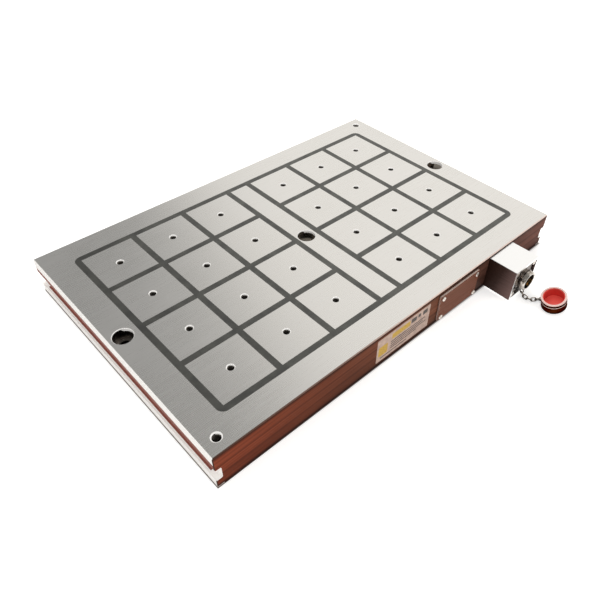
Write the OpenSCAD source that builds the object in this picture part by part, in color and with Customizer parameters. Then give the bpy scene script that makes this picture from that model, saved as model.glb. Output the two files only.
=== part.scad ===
// Electro-permanent magnetic chuck: a steel block with a milled pocket that
// holds 24 square poles, each on a reversible magnet with its coil, and a
// centre bar between two blocks of poles. Dark resin fills the grooves flush
// with the ground working face. A socket in an open-ended steel box on the
// front side takes the supply plug, and its dust cap lies beside it on a chain.
// X runs along the block, the front side faces -Y, and Z = 0 is the underside.

/* [Block] */
// Height from the underside to the working face
plate_h = 54; // [52:1:80]
// Steel between the pocket and each short end
end_border = 37; // [34:1:60]
// Steel between the pocket and each long side
side_border = 35.75; // [34:0.25:60]
// Steel floor under the pocket
floor_t = 13; // [11:0.5:16]
// Chamfer along the edges of the working face
edge_chamfer = 1.2; // [0.5:0.1:2]
// Chamfer along the edges of the underside
foot_chamfer = 1; // [0.5:0.1:2]
// Chamfer down the four upright corners
corner_chamfer = 1; // [0.5:0.5:4]
// Radius in the corners of the pocket
pocket_corner_r = 10; // [6:1:12]

/* [Poles] */
// Side of one square pole
pole_size = 71.5; // [64:0.5:80]
// Height of one pole
pole_h = 24; // [20:1:26]
// Width of the groove round each pole
groove_w = 8.5; // [6:0.5:12]
// Poles across the width
pole_rows = 4; // [2:1:4]
// Poles along each of the two blocks
pole_columns = 3; // [1:1:3]
// Thread core in the top of each pole
pole_thread_d = 8.5; // [6.8:0.1:8.8]
// Width of the countersink over that thread
pole_sink_d = 10.5; // [9.5:0.1:12]

/* [Centre bar] */
// Width of the bar between the two blocks of poles
bar_w = 29; // [28:1:60]
// Distance between the two screws that hold the bar
bar_screw_gap = 220; // [60:5:240]

/* [Fixing and lifting holes] */
// Clearance hole for a fixing screw
fixing_d = 17.5; // [13.5:0.5:18]
// Counterbore for the head of a fixing screw
fixing_head_d = 25; // [20:0.5:26]
// Depth of that counterbore
fixing_head_depth = 17; // [12:0.5:20]
// Fixing and lifting holes to the short end
hole_inset_x = 18; // [17.5:0.5:19]
// Lifting threads to the long side
hole_inset_y = 18; // [16:0.5:20]
// Thread core of a lifting hole
lifting_d = 10.2; // [8.5:0.1:12]
// Depth of a lifting hole
lifting_depth = 25; // [18:1:30]
// Width of the countersink over a lifting hole
lifting_sink_d = 13; // [12.5:0.1:14]

/* [Clamping slots] */
// Height of the slot along each short end
slot_h = 18; // [12:0.5:20]
// Depth of that slot
slot_depth = 8; // [5:0.5:8.5]
// Flange below the slot
slot_floor = 13.5; // [10:0.5:15]
// Radius in the back corners of the slot
slot_corner_r = 2; // [0.5:0.5:4]
// Rounding under the upper flange
slot_lip_r = 3; // [1:0.5:4]

/* [Magnets and coils] */
// Diameter of a reversible magnet
core_d = 50; // [36:1:54]
// Hole through a reversible magnet for the pole screw
core_hole_d = 12; // [11:0.5:16]
// Wall of the coil former
former_wall = 1.5; // [1:0.25:2.5]
// Resin between one coil former and the next
potting_gap = 5; // [3:0.5:8]
// Length of a side magnet
side_magnet_l = 60; // [40:1:62]
// Resin over the side magnets
resin_top = 4; // [2:0.5:6]

/* [Pole screws] */
// Diameter of a pole screw
screw_d = 8; // [7:0.5:10]
// Head diameter of a pole screw
screw_head_d = 13; // [12.5:0.5:16]
// Head height of a pole screw
screw_head_h = 6.5; // [5:0.5:7]
// Length of thread in the pole
screw_grip = 8; // [6:1:9]

/* [Wiring cover] */
// Middle of the cover along the block
cover_x = 87.5; // [70:0.5:90]
// Length of the cover
cover_l = 81; // [74:1:84]
// Height of the cover
cover_h = 42; // [38:1:44]
// Thickness of the cover
cover_t = 2.5; // [1.5:0.5:4]
// Thickness of its gasket
gasket_t = 0.8; // [0.5:0.1:1.5]
// Cover screws to the edge of the cover
cover_screw_inset = 5; // [4.5:0.25:5.5]
// Length of the wiring pocket behind the cover
wiring_l = 58; // [50:1:59]
// Height of the wiring pocket
wiring_h = 28; // [26:1:29]
// Depth of the wiring pocket
wiring_depth = 24; // [20:1:26]

/* [Connector box] */
// Middle of the box along the block
box_x = 182; // [170:0.5:190]
// Barrel of the socket to the sides of the box
box_side_room = 13.2; // [12.2:0.1:15.2]
// Barrel of the socket to the top and the bottom of the box
box_end_room = 10.7; // [9.7:0.1:11.2]
// How far the box stands out
box_l = 43; // [36:0.5:50]
// Underside of the block to the bottom of the box
box_foot = 1.5; // [0.5:0.25:3]
// Wall of the box
box_wall = 3; // [2:0.25:3.5]
// Side of the square post in each corner of the box
box_post = 8.5; // [8:0.25:9]
// How deep the socket's flange sits in the mouth
mouth_depth = 2.5; // [1:0.25:4]

/* [Socket] */
// Thickness of the socket's square flange
flange_t = 3; // [2:0.25:4]
// Outer diameter of the socket's barrel
barrel_d = 27.6; // [25:0.1:30]
// Wall of the barrel
barrel_wall = 2.8; // [2.6:0.1:3.6]
// Barrel in front of the flange
barrel_l = 11; // [9:0.5:14]
// Barrel behind the flange
barrel_back_l = 15; // [10:0.5:18]
// Diameter of a contact pin
pin_d = 2.8; // [2:0.1:3.2]

/* [Dust cap] */
// Height of the cap
cap_h = 20.5; // [18:0.5:23]
// Wall of the cap
cap_wall = 2.6; // [2.4:0.1:2.9]
// Thickness of the rubber liner
liner_t = 1; // [0.6:0.1:1.2]
// How far the cap leans on its domed end
cap_lean = 19; // [16:0.5:21]
// Diameter of the wire of a chain link
link_wire = 1.6; // [1.4:0.05:1.65]

/* [Hidden] */
$fn = 48;

// Block
pitch = pole_size + groove_w;
block_l = pole_columns * pitch;
pocket_l = bar_w + 2 * block_l + 2 * groove_w;
pocket_w = pole_rows * pitch + groove_w;
plate_l = pocket_l + 2 * end_border;
plate_w = pocket_w + 2 * side_border;
front = -plate_w / 2;
overcut = 1;
hole_rim = 0.5;
fixing_x = plate_l / 2 - hole_inset_x;
lifting_y = plate_w / 2 - hole_inset_y;

// Stack under one pole
pole_z = plate_h - pole_h;
core_h = pole_z - floor_t;
former_size = pitch - potting_gap;
former_corner_r = 10;
former_fit = 0.2;
winding_inset = 1.5;
screw_clearance = 0.4;
floor_clearance = 1;
screw_socket_d = 7;
screw_seat = 0.5;
tap_ratio = 0.82;
pole_web = 2;
pole_thread_depth = pole_h - screw_grip - pole_web;
bar_l = pocket_w - 2 * groove_w;

// Wiring
cover_z = floor_t + wiring_h / 2;
cover_screw_d = 4;
cover_screw_l = 10;
cover_head_d = 6.6;
cover_head_h = 2;
wiring_corner_r = 4;
screw_key_d = 2.5;
terminal_l = 44;
terminal_h = 14;
terminal_depth = 12;
terminal_count = 4;
terminal_gap = 9;
terminal_rib_t = 1.6;
terminal_rib_h = 3;
terminal_screw_d = 3;
terminal_screw_l = 5;
terminal_head_d = 5.4;
terminal_head_h = 2;
terminal_slot_w = 0.8;
lead_d = 2.2;
lead_gap = 1.6;
lead_bend_r = 4;
lead_bore_d = 7;
lead_bore_z = floor_t + 0.5 + lead_bore_d / 2;
lead_rise = 2;
terminal_z = lead_bore_z + lead_bend_r + lead_rise + terminal_h / 2;
cross_bore_d = 9;
cross_bore_depth = 18;

// Connector box and socket, measured outwards from the front side
box_w = barrel_d + 2 * box_side_room;
box_h = barrel_d + 2 * box_end_room;
box_z = box_foot + box_h / 2;
flange_out = box_l - mouth_depth;
post_l = flange_out - flange_t;
box_inner_w = box_w - 2 * box_wall;
box_inner_h = box_h - 2 * box_wall;
box_fit = 1;
flange_w = box_inner_w - 2 * box_fit;
flange_h = box_inner_h - 2 * box_fit;
box_screw_d = 4;
box_screw_x = (box_inner_w - box_post) / 2;
box_screw_y = (box_inner_h - box_post) / 2;
box_head_d = 7;
box_head_h = 2.2;
box_screw_grip = 10;
box_recess_w = 28;
box_recess_h = 26;
box_recess_depth = 24;
insert_face = flange_out + 0.5;
pin_reach = 5.5;
pin_tail = 5;
pin_x = 4.5;
pin_y = 2.4;
key_w = 2;
key_h = 1.2;
key_step = 1.5;
barrel_chamfer = 0.8;
barrel_bore_d = barrel_d - 2 * barrel_wall;
barrel_back = flange_out - flange_t - barrel_back_l;
barrel_front = flange_out + barrel_l;

// Chain ring and links. Each link heads, dips and is turned by hand-chosen angles
ring_groove = 0.8;
ring_t = 1.2;
ring_out = box_l + 0.5;
ring_fit = 0.2;
ring_w = 2.2;
lug_r = 3;
lug_hole_r = 1.6;
lug_turn = 10;
lug_reach = barrel_d / 2 + ring_w + 1.4;
link_inner_l = 6.6;
link_inner_w = 2.8;
link_slack = 0.5;
link_pitch = link_inner_l - link_slack;
link_headings = [-136, -125, -94, -70, -41, -39];
link_dips = [37, 10, 5, 0, -5, 6];
link_turns = [-51, 43, -33, 45, -48, 26];
link_count = len(link_turns);
chain_from = [box_x + lug_reach * sin(lug_turn) - 0.71,
              front - ring_out - ring_t / 2 + 0.37,
              box_z - lug_reach * cos(lug_turn) - 0.73];

// Dust cap, measured from the top of its domed end
cap_lean_to = 158;
liner_squeeze = 0.4;
cap_d = barrel_d + 2 * (cap_wall + liner_t - liner_squeeze);
cap_dome_inset = 1.9;
cap_dome_r = (cap_d / 2 - cap_dome_inset) / sin(cap_lean + 0.5);
cap_floor_h = 4;
cap_seat_z = 3.4;
cap_seat_h = 1.6;
cap_seat_inset = 1.6;
cap_grip_inset = 0.4;
cap_neck_h = 6;
cap_band_h = 1.2;
cap_waist_inset = 0.9;
cap_rim_h = 2.4;
cap_rim_step = 0.5;
cap_mouth_h = 1.2;
cap_ring_w = 1.6;
cap_lug_turn = -60;
cap_lug_reach = cap_d / 2 + 1.8;
chain_end_step = (link_slack + link_wire) / 2;
chain_to = link_start(link_count) + chain_end_step * link_direction(link_count - 1);

// Middle of the pole in column c, counted from the -X end
function pole_x(c) =
    let (side = c > pole_columns ? 1 : -1,
         nth = c > pole_columns ? c - pole_columns : pole_columns + 1 - c)
    side * (bar_w / 2 + groove_w + (nth - 1) * pitch + pole_size / 2);

// Middle of the pole in row r, counted from the front
function pole_y(r) = (r - (pole_rows + 1) / 2) * pitch;

// Children at the middle of each pole
module at_poles() {
    for (c = [1 : 2 * pole_columns], r = [1 : pole_rows])
        translate([pole_x(c), pole_y(r), 0]) children();
}

// Children at the two screws of the centre bar
module at_bar_screws() {
    for (side = [-1, 1]) translate([0, side * bar_screw_gap / 2, 0]) children();
}

// Children on the front side, with Z outwards
module on_front(x, z) {
    translate([x, front, z]) rotate([90, 0, 0]) children();
}

// Children at four corners
module at_corners(x, y) {
    for (sx = [-1, 1], sy = [-1, 1]) translate([sx * x, sy * y, 0]) children();
}

// Rounded rectangle about the origin
module rounded_rect(w, h, r) {
    square([w - 2 * r, h], center = true);
    square([w, h - 2 * r], center = true);
    at_corners(w / 2 - r, h / 2 - r) circle(r);
}

// Hole with a countersunk rim, down from z
module sunk_hole(d, depth, sink_d, z) {
    rim = (sink_d - d) / 2;
    translate([0, 0, z - depth]) cylinder(d = d, h = depth + overcut);
    translate([0, 0, z - rim]) cylinder(d1 = d, d2 = sink_d, h = rim);
    translate([0, 0, z]) cylinder(d = sink_d, h = overcut);
}

// Socket screw with its head at the bottom, head underside at z = 0
module socket_screw(d, head_d, head_h, key_d, length) {
    difference() {
        union() {
            cylinder(d = head_d, h = head_h);
            translate([0, 0, head_h]) cylinder(d = d, h = length);
        }
        translate([0, 0, -overcut]) cylinder(d = key_d, h = head_h / 2 + overcut, $fn = 6);
    }
}

// Section across the slots, X and Z
module end_section() {
    x = plate_l / 2;
    difference() {
        polygon([[-x + foot_chamfer, 0], [x - foot_chamfer, 0], [x, foot_chamfer],
                 [x, plate_h - edge_chamfer], [x - edge_chamfer, plate_h],
                 [-x + edge_chamfer, plate_h], [-x, plate_h - edge_chamfer],
                 [-x, foot_chamfer]]);
        for (side = [0, 1]) mirror([side, 0]) slot_section();
    }
}

// One clamping slot with rounded back corners and a rounded lip
module slot_section() {
    r = slot_corner_r;
    translate([plate_l / 2 - slot_depth, slot_floor]) {
        translate([r, 0]) square([slot_depth, slot_h]);
        translate([0, r]) square([slot_depth, slot_h - 2 * r]);
        for (z = [r, slot_h - r]) translate([r, z]) circle(r);
        translate([slot_depth - slot_lip_r, slot_h]) difference() {
            square(slot_lip_r);
            translate([0, slot_lip_r]) circle(slot_lip_r);
        }
    }
}

// Section across the long sides, Y and Z
module side_section() {
    y = plate_w / 2;
    polygon([[-y + foot_chamfer, 0], [y - foot_chamfer, 0], [y, foot_chamfer],
             [y, plate_h - edge_chamfer], [y - edge_chamfer, plate_h],
             [-y + edge_chamfer, plate_h], [-y, plate_h - edge_chamfer],
             [-y, foot_chamfer]]);
}

// Outline of the block from above
module block_outline() {
    x = plate_l / 2;
    y = plate_w / 2;
    c = corner_chamfer;
    polygon([[-x + c, -y], [x - c, -y], [x, -y + c], [x, y - c],
             [x - c, y], [-x + c, y], [-x, y - c], [-x, -y + c]]);
}

// Solid block before the pocket and the holes
module block_blank() {
    intersection() {
        linear_extrude(plate_h) block_outline();
        rotate([90, 0, 0]) linear_extrude(plate_w, center = true) end_section();
        rotate([90, 0, 90]) linear_extrude(plate_l, center = true) side_section();
    }
}

// Counterbored through hole for a fixing screw
module fixing_hole() {
    translate([0, 0, -overcut]) cylinder(d = fixing_d, h = plate_h + 2 * overcut);
    sunk_hole(fixing_head_d, fixing_head_depth, fixing_head_d + 2 * hole_rim, plate_h);
}

// Screw hole through the floor, counterbored from below
module floor_screw_hole() {
    head_room = screw_head_h + screw_seat;
    translate([0, 0, -overcut]) cylinder(d = screw_d + floor_clearance, h = floor_t + 2 * overcut);
    translate([0, 0, -overcut]) cylinder(d = screw_head_d + 1, h = head_room + overcut);
}

// Milled pockets and drillings for the wiring, cut from the front side
module wiring_cuts() {
    on_front(cover_x, cover_z) {
        translate([0, 0, -wiring_depth]) linear_extrude(wiring_depth + overcut)
            rounded_rect(wiring_l, wiring_h, wiring_corner_r);
        at_corners(cover_l / 2 - cover_screw_inset, cover_h / 2 - cover_screw_inset)
            translate([0, 0, -cover_screw_l])
                cylinder(d = cover_screw_d * tap_ratio, h = cover_screw_l + overcut);
    }
    on_front(cover_x, lead_bore_z) translate([0, 0, -side_border - overcut])
        cylinder(d = lead_bore_d, h = side_border);
    on_front(box_x, box_z) {
        translate([0, 0, -box_recess_depth]) linear_extrude(box_recess_depth + overcut)
            rounded_rect(box_recess_w, box_recess_h, wiring_corner_r);
        at_corners(box_screw_x, box_screw_y) translate([0, 0, -box_screw_grip])
            cylinder(d = box_screw_d * tap_ratio, h = box_screw_grip + overcut);
    }
    translate([cover_x, front + cross_bore_depth, box_z]) rotate([0, 90, 0])
        cylinder(d = cross_bore_d, h = box_x - cover_x);
}

// Steel block with its pocket, slots and holes
module chuck_body() {
    color("#9c8070") difference() {
        block_blank();
        translate([0, 0, floor_t]) linear_extrude(plate_h)
            rounded_rect(pocket_l, pocket_w, pocket_corner_r);
        for (side = [-1, 1]) translate([side * fixing_x, 0, 0]) fixing_hole();
        translate([0, 0, -overcut]) cylinder(d = fixing_d, h = floor_t + 2 * overcut);
        for (side = [-1, 1]) translate([side * fixing_x, side * lifting_y, 0])
            sunk_hole(lifting_d, lifting_depth, lifting_sink_d, plate_h);
        at_poles() floor_screw_hole();
        at_bar_screws() floor_screw_hole();
        wiring_cuts();
    }
}

// One square pole with a blind thread in its top and one for the pole screw
module pole(c, r) {
    color("#b8b6b0") translate([pole_x(c), pole_y(r), 0]) difference() {
        translate([-pole_size / 2, -pole_size / 2, pole_z]) cube([pole_size, pole_size, pole_h]);
        sunk_hole(pole_thread_d, pole_thread_depth, pole_sink_d, plate_h);
        translate([0, 0, pole_z - overcut])
            cylinder(d = screw_d * tap_ratio, h = screw_grip + overcut);
    }
}

// Steel bar between the two blocks of poles
module centre_bar() {
    color("#b8b6b0") difference() {
        translate([-bar_w / 2, -bar_l / 2, floor_t]) cube([bar_w, bar_l, plate_h - floor_t]);
        fixing_hole();
        at_bar_screws() translate([0, 0, floor_t - overcut])
            cylinder(d = screw_d * tap_ratio, h = screw_grip + 2 * overcut);
    }
}

// Outline of the pocket without the centre bar
module resin_outline() {
    difference() {
        rounded_rect(pocket_l, pocket_w, pocket_corner_r);
        square([bar_w, bar_l], center = true);
    }
}

// Side magnets across the grooves that run along Y, as an outline
module magnets_x_outline() {
    for (c = [1 : 2 * pole_columns], r = [1 : pole_rows]) {
        inner = c > pole_columns ? -1 : 1;
        translate([pole_x(c) + inner * pitch / 2, pole_y(r)])
            square([groove_w, side_magnet_l], center = true);
    }
    for (side = [-1, 1], r = [1 : pole_rows])
        translate([side * (pocket_l - groove_w) / 2, pole_y(r)])
            square([groove_w, side_magnet_l], center = true);
}

// Side magnets across the grooves that run along X, as an outline
module magnets_y_outline() {
    for (c = [1 : 2 * pole_columns], r = [0 : pole_rows])
        translate([pole_x(c), pole_y(r) + pitch / 2])
            square([side_magnet_l, groove_w], center = true);
}

// Potting resin round the coils and in the grooves
module resin_fill() {
    magnet_h = pole_h - resin_top;
    color("#4a4a44") {
        translate([0, 0, floor_t]) linear_extrude(core_h) difference() {
            resin_outline();
            at_poles() rounded_rect(former_size, former_size, former_corner_r);
        }
        translate([0, 0, pole_z]) linear_extrude(magnet_h) difference() {
            resin_outline();
            at_poles() square(pole_size, center = true);
            magnets_x_outline();
            magnets_y_outline();
        }
        translate([0, 0, pole_z + magnet_h]) linear_extrude(resin_top) difference() {
            resin_outline();
            at_poles() square(pole_size, center = true);
        }
    }
}

// Reversible magnets, one under each pole
module reversible_magnets() {
    color("#7f8286") at_poles() translate([0, 0, floor_t]) difference() {
        cylinder(d = core_d, h = core_h);
        translate([0, 0, -overcut]) cylinder(d = core_hole_d, h = core_h + 2 * overcut);
    }
}

// Plastic formers that carry the coils
module coil_formers() {
    inner_d = core_d + 2 * former_fit;
    tube_d = inner_d + 2 * former_wall;
    color("#d8d2c0") at_poles() translate([0, 0, floor_t]) difference() {
        union() {
            for (z = [0, core_h - former_wall]) translate([0, 0, z])
                linear_extrude(former_wall)
                    rounded_rect(former_size, former_size, former_corner_r);
            cylinder(d = tube_d, h = core_h);
        }
        translate([0, 0, -overcut]) cylinder(d = inner_d, h = core_h + 2 * overcut);
    }
}

// Copper windings, one round each former
module coil_windings() {
    tube_d = core_d + 2 * former_fit + 2 * former_wall;
    size = former_size - 2 * winding_inset;
    color("#b36b35") at_poles() translate([0, 0, floor_t + former_wall])
        linear_extrude(core_h - 2 * former_wall) difference() {
            rounded_rect(size, size, former_corner_r);
            circle(d = tube_d);
        }
}

// Permanent magnets between poles along X
module side_magnets_x() {
    color("#8f9398") translate([0, 0, pole_z]) linear_extrude(pole_h - resin_top)
        magnets_x_outline();
}

// Permanent magnets between poles along Y
module side_magnets_y() {
    color("#8f9398") translate([0, 0, pole_z]) linear_extrude(pole_h - resin_top)
        magnets_y_outline();
}

// Screws that pull the poles down on their magnets
module pole_screws() {
    neck_l = pole_z - screw_seat - screw_head_h;
    color("#3b3c3e") at_poles() translate([0, 0, screw_seat]) {
        socket_screw(screw_d, screw_head_d, screw_head_h, screw_socket_d, neck_l);
        translate([0, 0, screw_head_h + neck_l]) cylinder(d = screw_d * tap_ratio, h = screw_grip);
    }
}

// Screws that hold the centre bar
module bar_screws() {
    neck_l = floor_t - screw_seat - screw_head_h;
    color("#3b3c3e") at_bar_screws() translate([0, 0, screw_seat]) {
        socket_screw(screw_d, screw_head_d, screw_head_h, screw_socket_d, neck_l);
        translate([0, 0, screw_head_h + neck_l])
            cylinder(d = screw_d * tap_ratio, h = screw_grip);
    }
}

// Cover plate over the wiring pocket
module wiring_cover() {
    color("#8a5a48") on_front(cover_x, cover_z) translate([0, 0, gasket_t])
        difference() {
            linear_extrude(cover_t) rounded_rect(cover_l, cover_h, 1);
            at_corners(cover_l / 2 - cover_screw_inset, cover_h / 2 - cover_screw_inset)
                translate([0, 0, -overcut])
                    cylinder(d = cover_screw_d + screw_clearance, h = cover_t + 2 * overcut);
        }
}

// Rubber frame under the cover
module cover_gasket() {
    inset = 0.5;
    color("#2a2a2a") on_front(cover_x, cover_z) linear_extrude(gasket_t) difference() {
        rounded_rect(cover_l - 2 * inset, cover_h - 2 * inset, 1);
        rounded_rect(wiring_l, wiring_h, wiring_corner_r);
        at_corners(cover_l / 2 - cover_screw_inset, cover_h / 2 - cover_screw_inset)
            circle(d = cover_screw_d + screw_clearance);
    }
}

// Domed screws of the cover
module cover_screws() {
    out = gasket_t + cover_t;
    color("#c9c4bb") on_front(cover_x, cover_z)
        at_corners(cover_l / 2 - cover_screw_inset, cover_h / 2 - cover_screw_inset)
            difference() {
                union() {
                    translate([0, 0, -cover_screw_l])
                        cylinder(d = cover_screw_d * tap_ratio, h = cover_screw_l + out);
                    translate([0, 0, out]) rounded_head(cover_head_d, cover_head_h);
                }
                translate([0, 0, out + cover_head_h / 2])
                    cylinder(d = screw_key_d, h = cover_head_h, $fn = 6);
            }
}

// Low screw head with a rounded rim
module rounded_head(d, h) {
    r = h / 2;
    cylinder(d = d, h = h - r);
    cylinder(d = d - 2 * r, h = h);
    translate([0, 0, h - r]) rotate_extrude() translate([d / 2 - r, 0])
        intersection() {
            circle(r);
            square(r);
        }
}

// Plastic terminal strip on the back wall of the wiring pocket
module terminal_block() {
    back = -wiring_depth;
    base_h = terminal_depth - terminal_rib_h;
    span = terminal_gap * terminal_count;
    color("#23252a") on_front(cover_x, terminal_z) difference() {
        union() {
            translate([-terminal_l / 2, -terminal_h / 2, back])
                cube([terminal_l, terminal_h, base_h]);
            for (i = [0 : terminal_count])
                translate([-span / 2 + i * terminal_gap - terminal_rib_t / 2,
                           -terminal_h / 2, back])
                    cube([terminal_rib_t, terminal_h, terminal_depth]);
        }
        at_terminals() translate([0, 0, back + base_h - terminal_screw_l])
            cylinder(d = terminal_screw_d, h = terminal_depth);
    }
}

// Children at each terminal screw
module at_terminals() {
    first = -terminal_gap * (terminal_count - 1) / 2;
    for (i = [0 : terminal_count - 1], sy = [-1, 1])
        translate([first + i * terminal_gap, sy * terminal_h / 4, 0]) children();
}

// Brass screws of the terminal strip
module terminal_screws() {
    face = terminal_depth - terminal_rib_h - wiring_depth;
    color("#c79a4a") on_front(cover_x, terminal_z) at_terminals() difference() {
        union() {
            translate([0, 0, face - terminal_screw_l])
                cylinder(d = terminal_screw_d, h = terminal_screw_l);
            translate([0, 0, face]) cylinder(d = terminal_head_d, h = terminal_head_h);
        }
        translate([-terminal_slot_w / 2, -terminal_head_d / 2 - overcut,
                   face + terminal_head_h / 2])
            cube([terminal_slot_w, terminal_head_d + 2 * overcut, terminal_head_h]);
    }
}

// Leads from the coils up to the terminal strip
module coil_leads() {
    turn_y = front + wiring_depth - 1 - lead_d;
    color("#a83a2c") for (side = [-1, 1])
        translate([cover_x + side * lead_gap, turn_y, lead_bore_z]) {
            rotate([-90, 0, 0]) cylinder(d = lead_d, h = front + side_border - turn_y);
            translate([0, 0, lead_bend_r]) rotate([0, 90, 0]) rotate([0, 0, -90])
                rotate_extrude(angle = 90) translate([lead_bend_r, 0]) circle(d = lead_d);
            translate([0, -lead_bend_r, lead_bend_r]) cylinder(d = lead_d, h = lead_rise);
        }
}

// Leads from the terminal strip to the socket pins
module supply_leads() {
    start_x = cover_x + terminal_l / 2;
    r = lead_bend_r;
    pin_back = front - barrel_back + pin_tail;
    color("#2f3136") for (sx = [-1, 1], sz = [-1, 1]) {
        y = front + cross_bore_depth + sx * lead_gap;
        x = box_x + sx * pin_x;
        z = box_z + sz * pin_y;
        translate([start_x, y, z]) rotate([0, 90, 0]) cylinder(d = lead_d, h = x - r - start_x);
        translate([x - r, y - r, z]) rotate_extrude(angle = 90) translate([r, 0])
            circle(d = lead_d);
        translate([x, y - r, z]) rotate([90, 0, 0]) cylinder(d = lead_d, h = y - r - pin_back);
    }
}

// Open-ended square box with a screw post in each corner
module connector_box() {
    color("#b9b2aa") on_front(box_x, box_z) difference() {
        union() {
            linear_extrude(box_l) difference() {
                rounded_rect(box_w, box_h, 0.8);
                square([box_inner_w, box_inner_h], center = true);
            }
            linear_extrude(post_l)
                at_corners(box_inner_w / 2 - box_post / 2, box_inner_h / 2 - box_post / 2)
                    square(box_post, center = true);
        }
        at_corners(box_screw_x, box_screw_y) translate([0, 0, -overcut])
            cylinder(d = box_screw_d + screw_clearance, h = box_l);
    }
}

// Long screws through the socket flange and the posts
module box_screws() {
    color("#c9c4bb") on_front(box_x, box_z) at_corners(box_screw_x, box_screw_y)
        difference() {
            union() {
                translate([0, 0, -box_screw_grip])
                    cylinder(d = box_screw_d * tap_ratio, h = box_screw_grip + flange_out);
                translate([0, 0, flange_out]) rounded_head(box_head_d, box_head_h);
            }
            translate([0, 0, flange_out + box_head_h / 2])
                cylinder(d = screw_key_d, h = box_head_h, $fn = 6);
        }
}

// Metal shell of the socket: square flange, barrel and rear sleeve
module socket_shell() {
    c = barrel_chamfer;
    color("#bdb9b2") on_front(box_x, box_z) {
        difference() {
            union() {
                translate([0, 0, post_l]) linear_extrude(flange_t)
                    rounded_rect(flange_w, flange_h, 1.5);
                translate([0, 0, barrel_back]) cylinder(d = barrel_d - 2 * c, h = barrel_back_l);
                translate([0, 0, flange_out]) cylinder(d = barrel_d, h = barrel_l - c);
                translate([0, 0, barrel_front - c])
                    cylinder(d1 = barrel_d, d2 = barrel_d - 2 * c, h = c);
            }
            translate([0, 0, barrel_back - overcut])
                cylinder(d = barrel_bore_d, h = barrel_front - barrel_back + 2 * overcut);
            at_corners(box_screw_x, box_screw_y) translate([0, 0, post_l - overcut])
                cylinder(d = box_screw_d + screw_clearance, h = flange_t + 2 * overcut);
            translate([0, 0, ring_out - ring_fit]) difference() {
                cylinder(d = barrel_d + 2 * overcut, h = ring_t + 2 * ring_fit);
                cylinder(d = barrel_d - 2 * ring_groove, h = ring_t + 2 * ring_fit);
            }
        }
        translate([-key_w / 2, barrel_bore_d / 2 - key_h, insert_face])
            cube([key_w, 1.5 * key_h, barrel_front - key_step - insert_face]);
    }
}

// Plastic insulator that carries the pins
module socket_insert() {
    length = insert_face - barrel_back;
    color("#1d1e20") on_front(box_x, box_z) translate([0, 0, barrel_back]) difference() {
        cylinder(d = barrel_bore_d, h = length);
        at_corners(pin_x, pin_y) translate([0, 0, -overcut])
            cylinder(d = pin_d, h = length + 2 * overcut);
    }
}

// Contact pins with rounded tips
module contact_pins() {
    back = barrel_back - pin_tail;
    tip = insert_face + pin_reach;
    color("#c9a45a") on_front(box_x, box_z) at_corners(pin_x, pin_y) {
        translate([0, 0, back]) cylinder(d = pin_d, h = tip - pin_d / 2 - back);
        translate([0, 0, tip - pin_d / 2]) sphere(d = pin_d);
    }
}

// Ring in the barrel's groove with a lug for the chain
module chain_ring() {
    inner_r = barrel_d / 2 - ring_groove + ring_fit;
    color("#a8a39b") on_front(box_x, box_z) translate([0, 0, ring_out])
        linear_extrude(ring_t) difference() {
            union() {
                circle(inner_r + ring_w);
                rotate(lug_turn - 90) translate([lug_reach, 0]) circle(lug_r);
            }
            circle(inner_r);
            rotate(lug_turn - 90) translate([lug_reach, 0]) circle(lug_hole_r);
        }
}

// Way link i runs
function link_direction(i) =
    [cos(link_headings[i]) * cos(link_dips[i]), sin(link_headings[i]) * cos(link_dips[i]),
     -sin(link_dips[i])];

// Where link i starts, summed from the lug of the chain ring
function link_start(i) =
    i == 0 ? chain_from : link_start(i - 1) + link_pitch * link_direction(i - 1);

// One link of bent wire, round the middle of its length
module link_wire_loop() {
    r = (link_inner_w + link_wire) / 2;
    half_l = (link_inner_l + link_wire) / 2 - r;
    for (end = [0, 1]) mirror([end, 0, 0]) translate([half_l, 0, 0])
        rotate([90, 0, 0]) rotate([0, 0, -90])
            rotate_extrude(angle = 180) translate([r, 0]) circle(d = link_wire);
    for (side = [-1, 1]) translate([-half_l, 0, side * r]) rotate([0, 90, 0])
        cylinder(d = link_wire, h = 2 * half_l);
}

// Link i of the chain, counted from the socket
module chain_link(i) {
    n = i - 1;
    color("#a8a39b") translate(link_start(n))
        rotate([link_turns[n], link_dips[n], link_headings[n]])
            translate([link_pitch / 2, 0, 0]) link_wire_loop();
}

// Point of the leaning cap, seen from the top of its domed end
function cap_point(x, y, z) =
    let (level = x * cos(cap_lean) + z * sin(cap_lean))
    [level * cos(cap_lean_to) - y * sin(cap_lean_to),
     level * sin(cap_lean_to) + y * cos(cap_lean_to),
     z * cos(cap_lean) - x * sin(cap_lean)];

// Children in the leaning frame of the cap, with Z out of its mouth. The lug of
// its ring meets the end of the chain and its domed end rests on the table
module at_cap() {
    lug = cap_point(cap_lug_reach * cos(cap_lug_turn), cap_lug_reach * sin(cap_lug_turn),
                    cap_seat_z + cap_seat_h / 2);
    apex_z = cap_dome_r * (1 - cos(cap_lean));
    translate([chain_to.x - lug.x, chain_to.y - lug.y, apex_z])
        rotate([0, cap_lean, cap_lean_to]) children();
}

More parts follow.
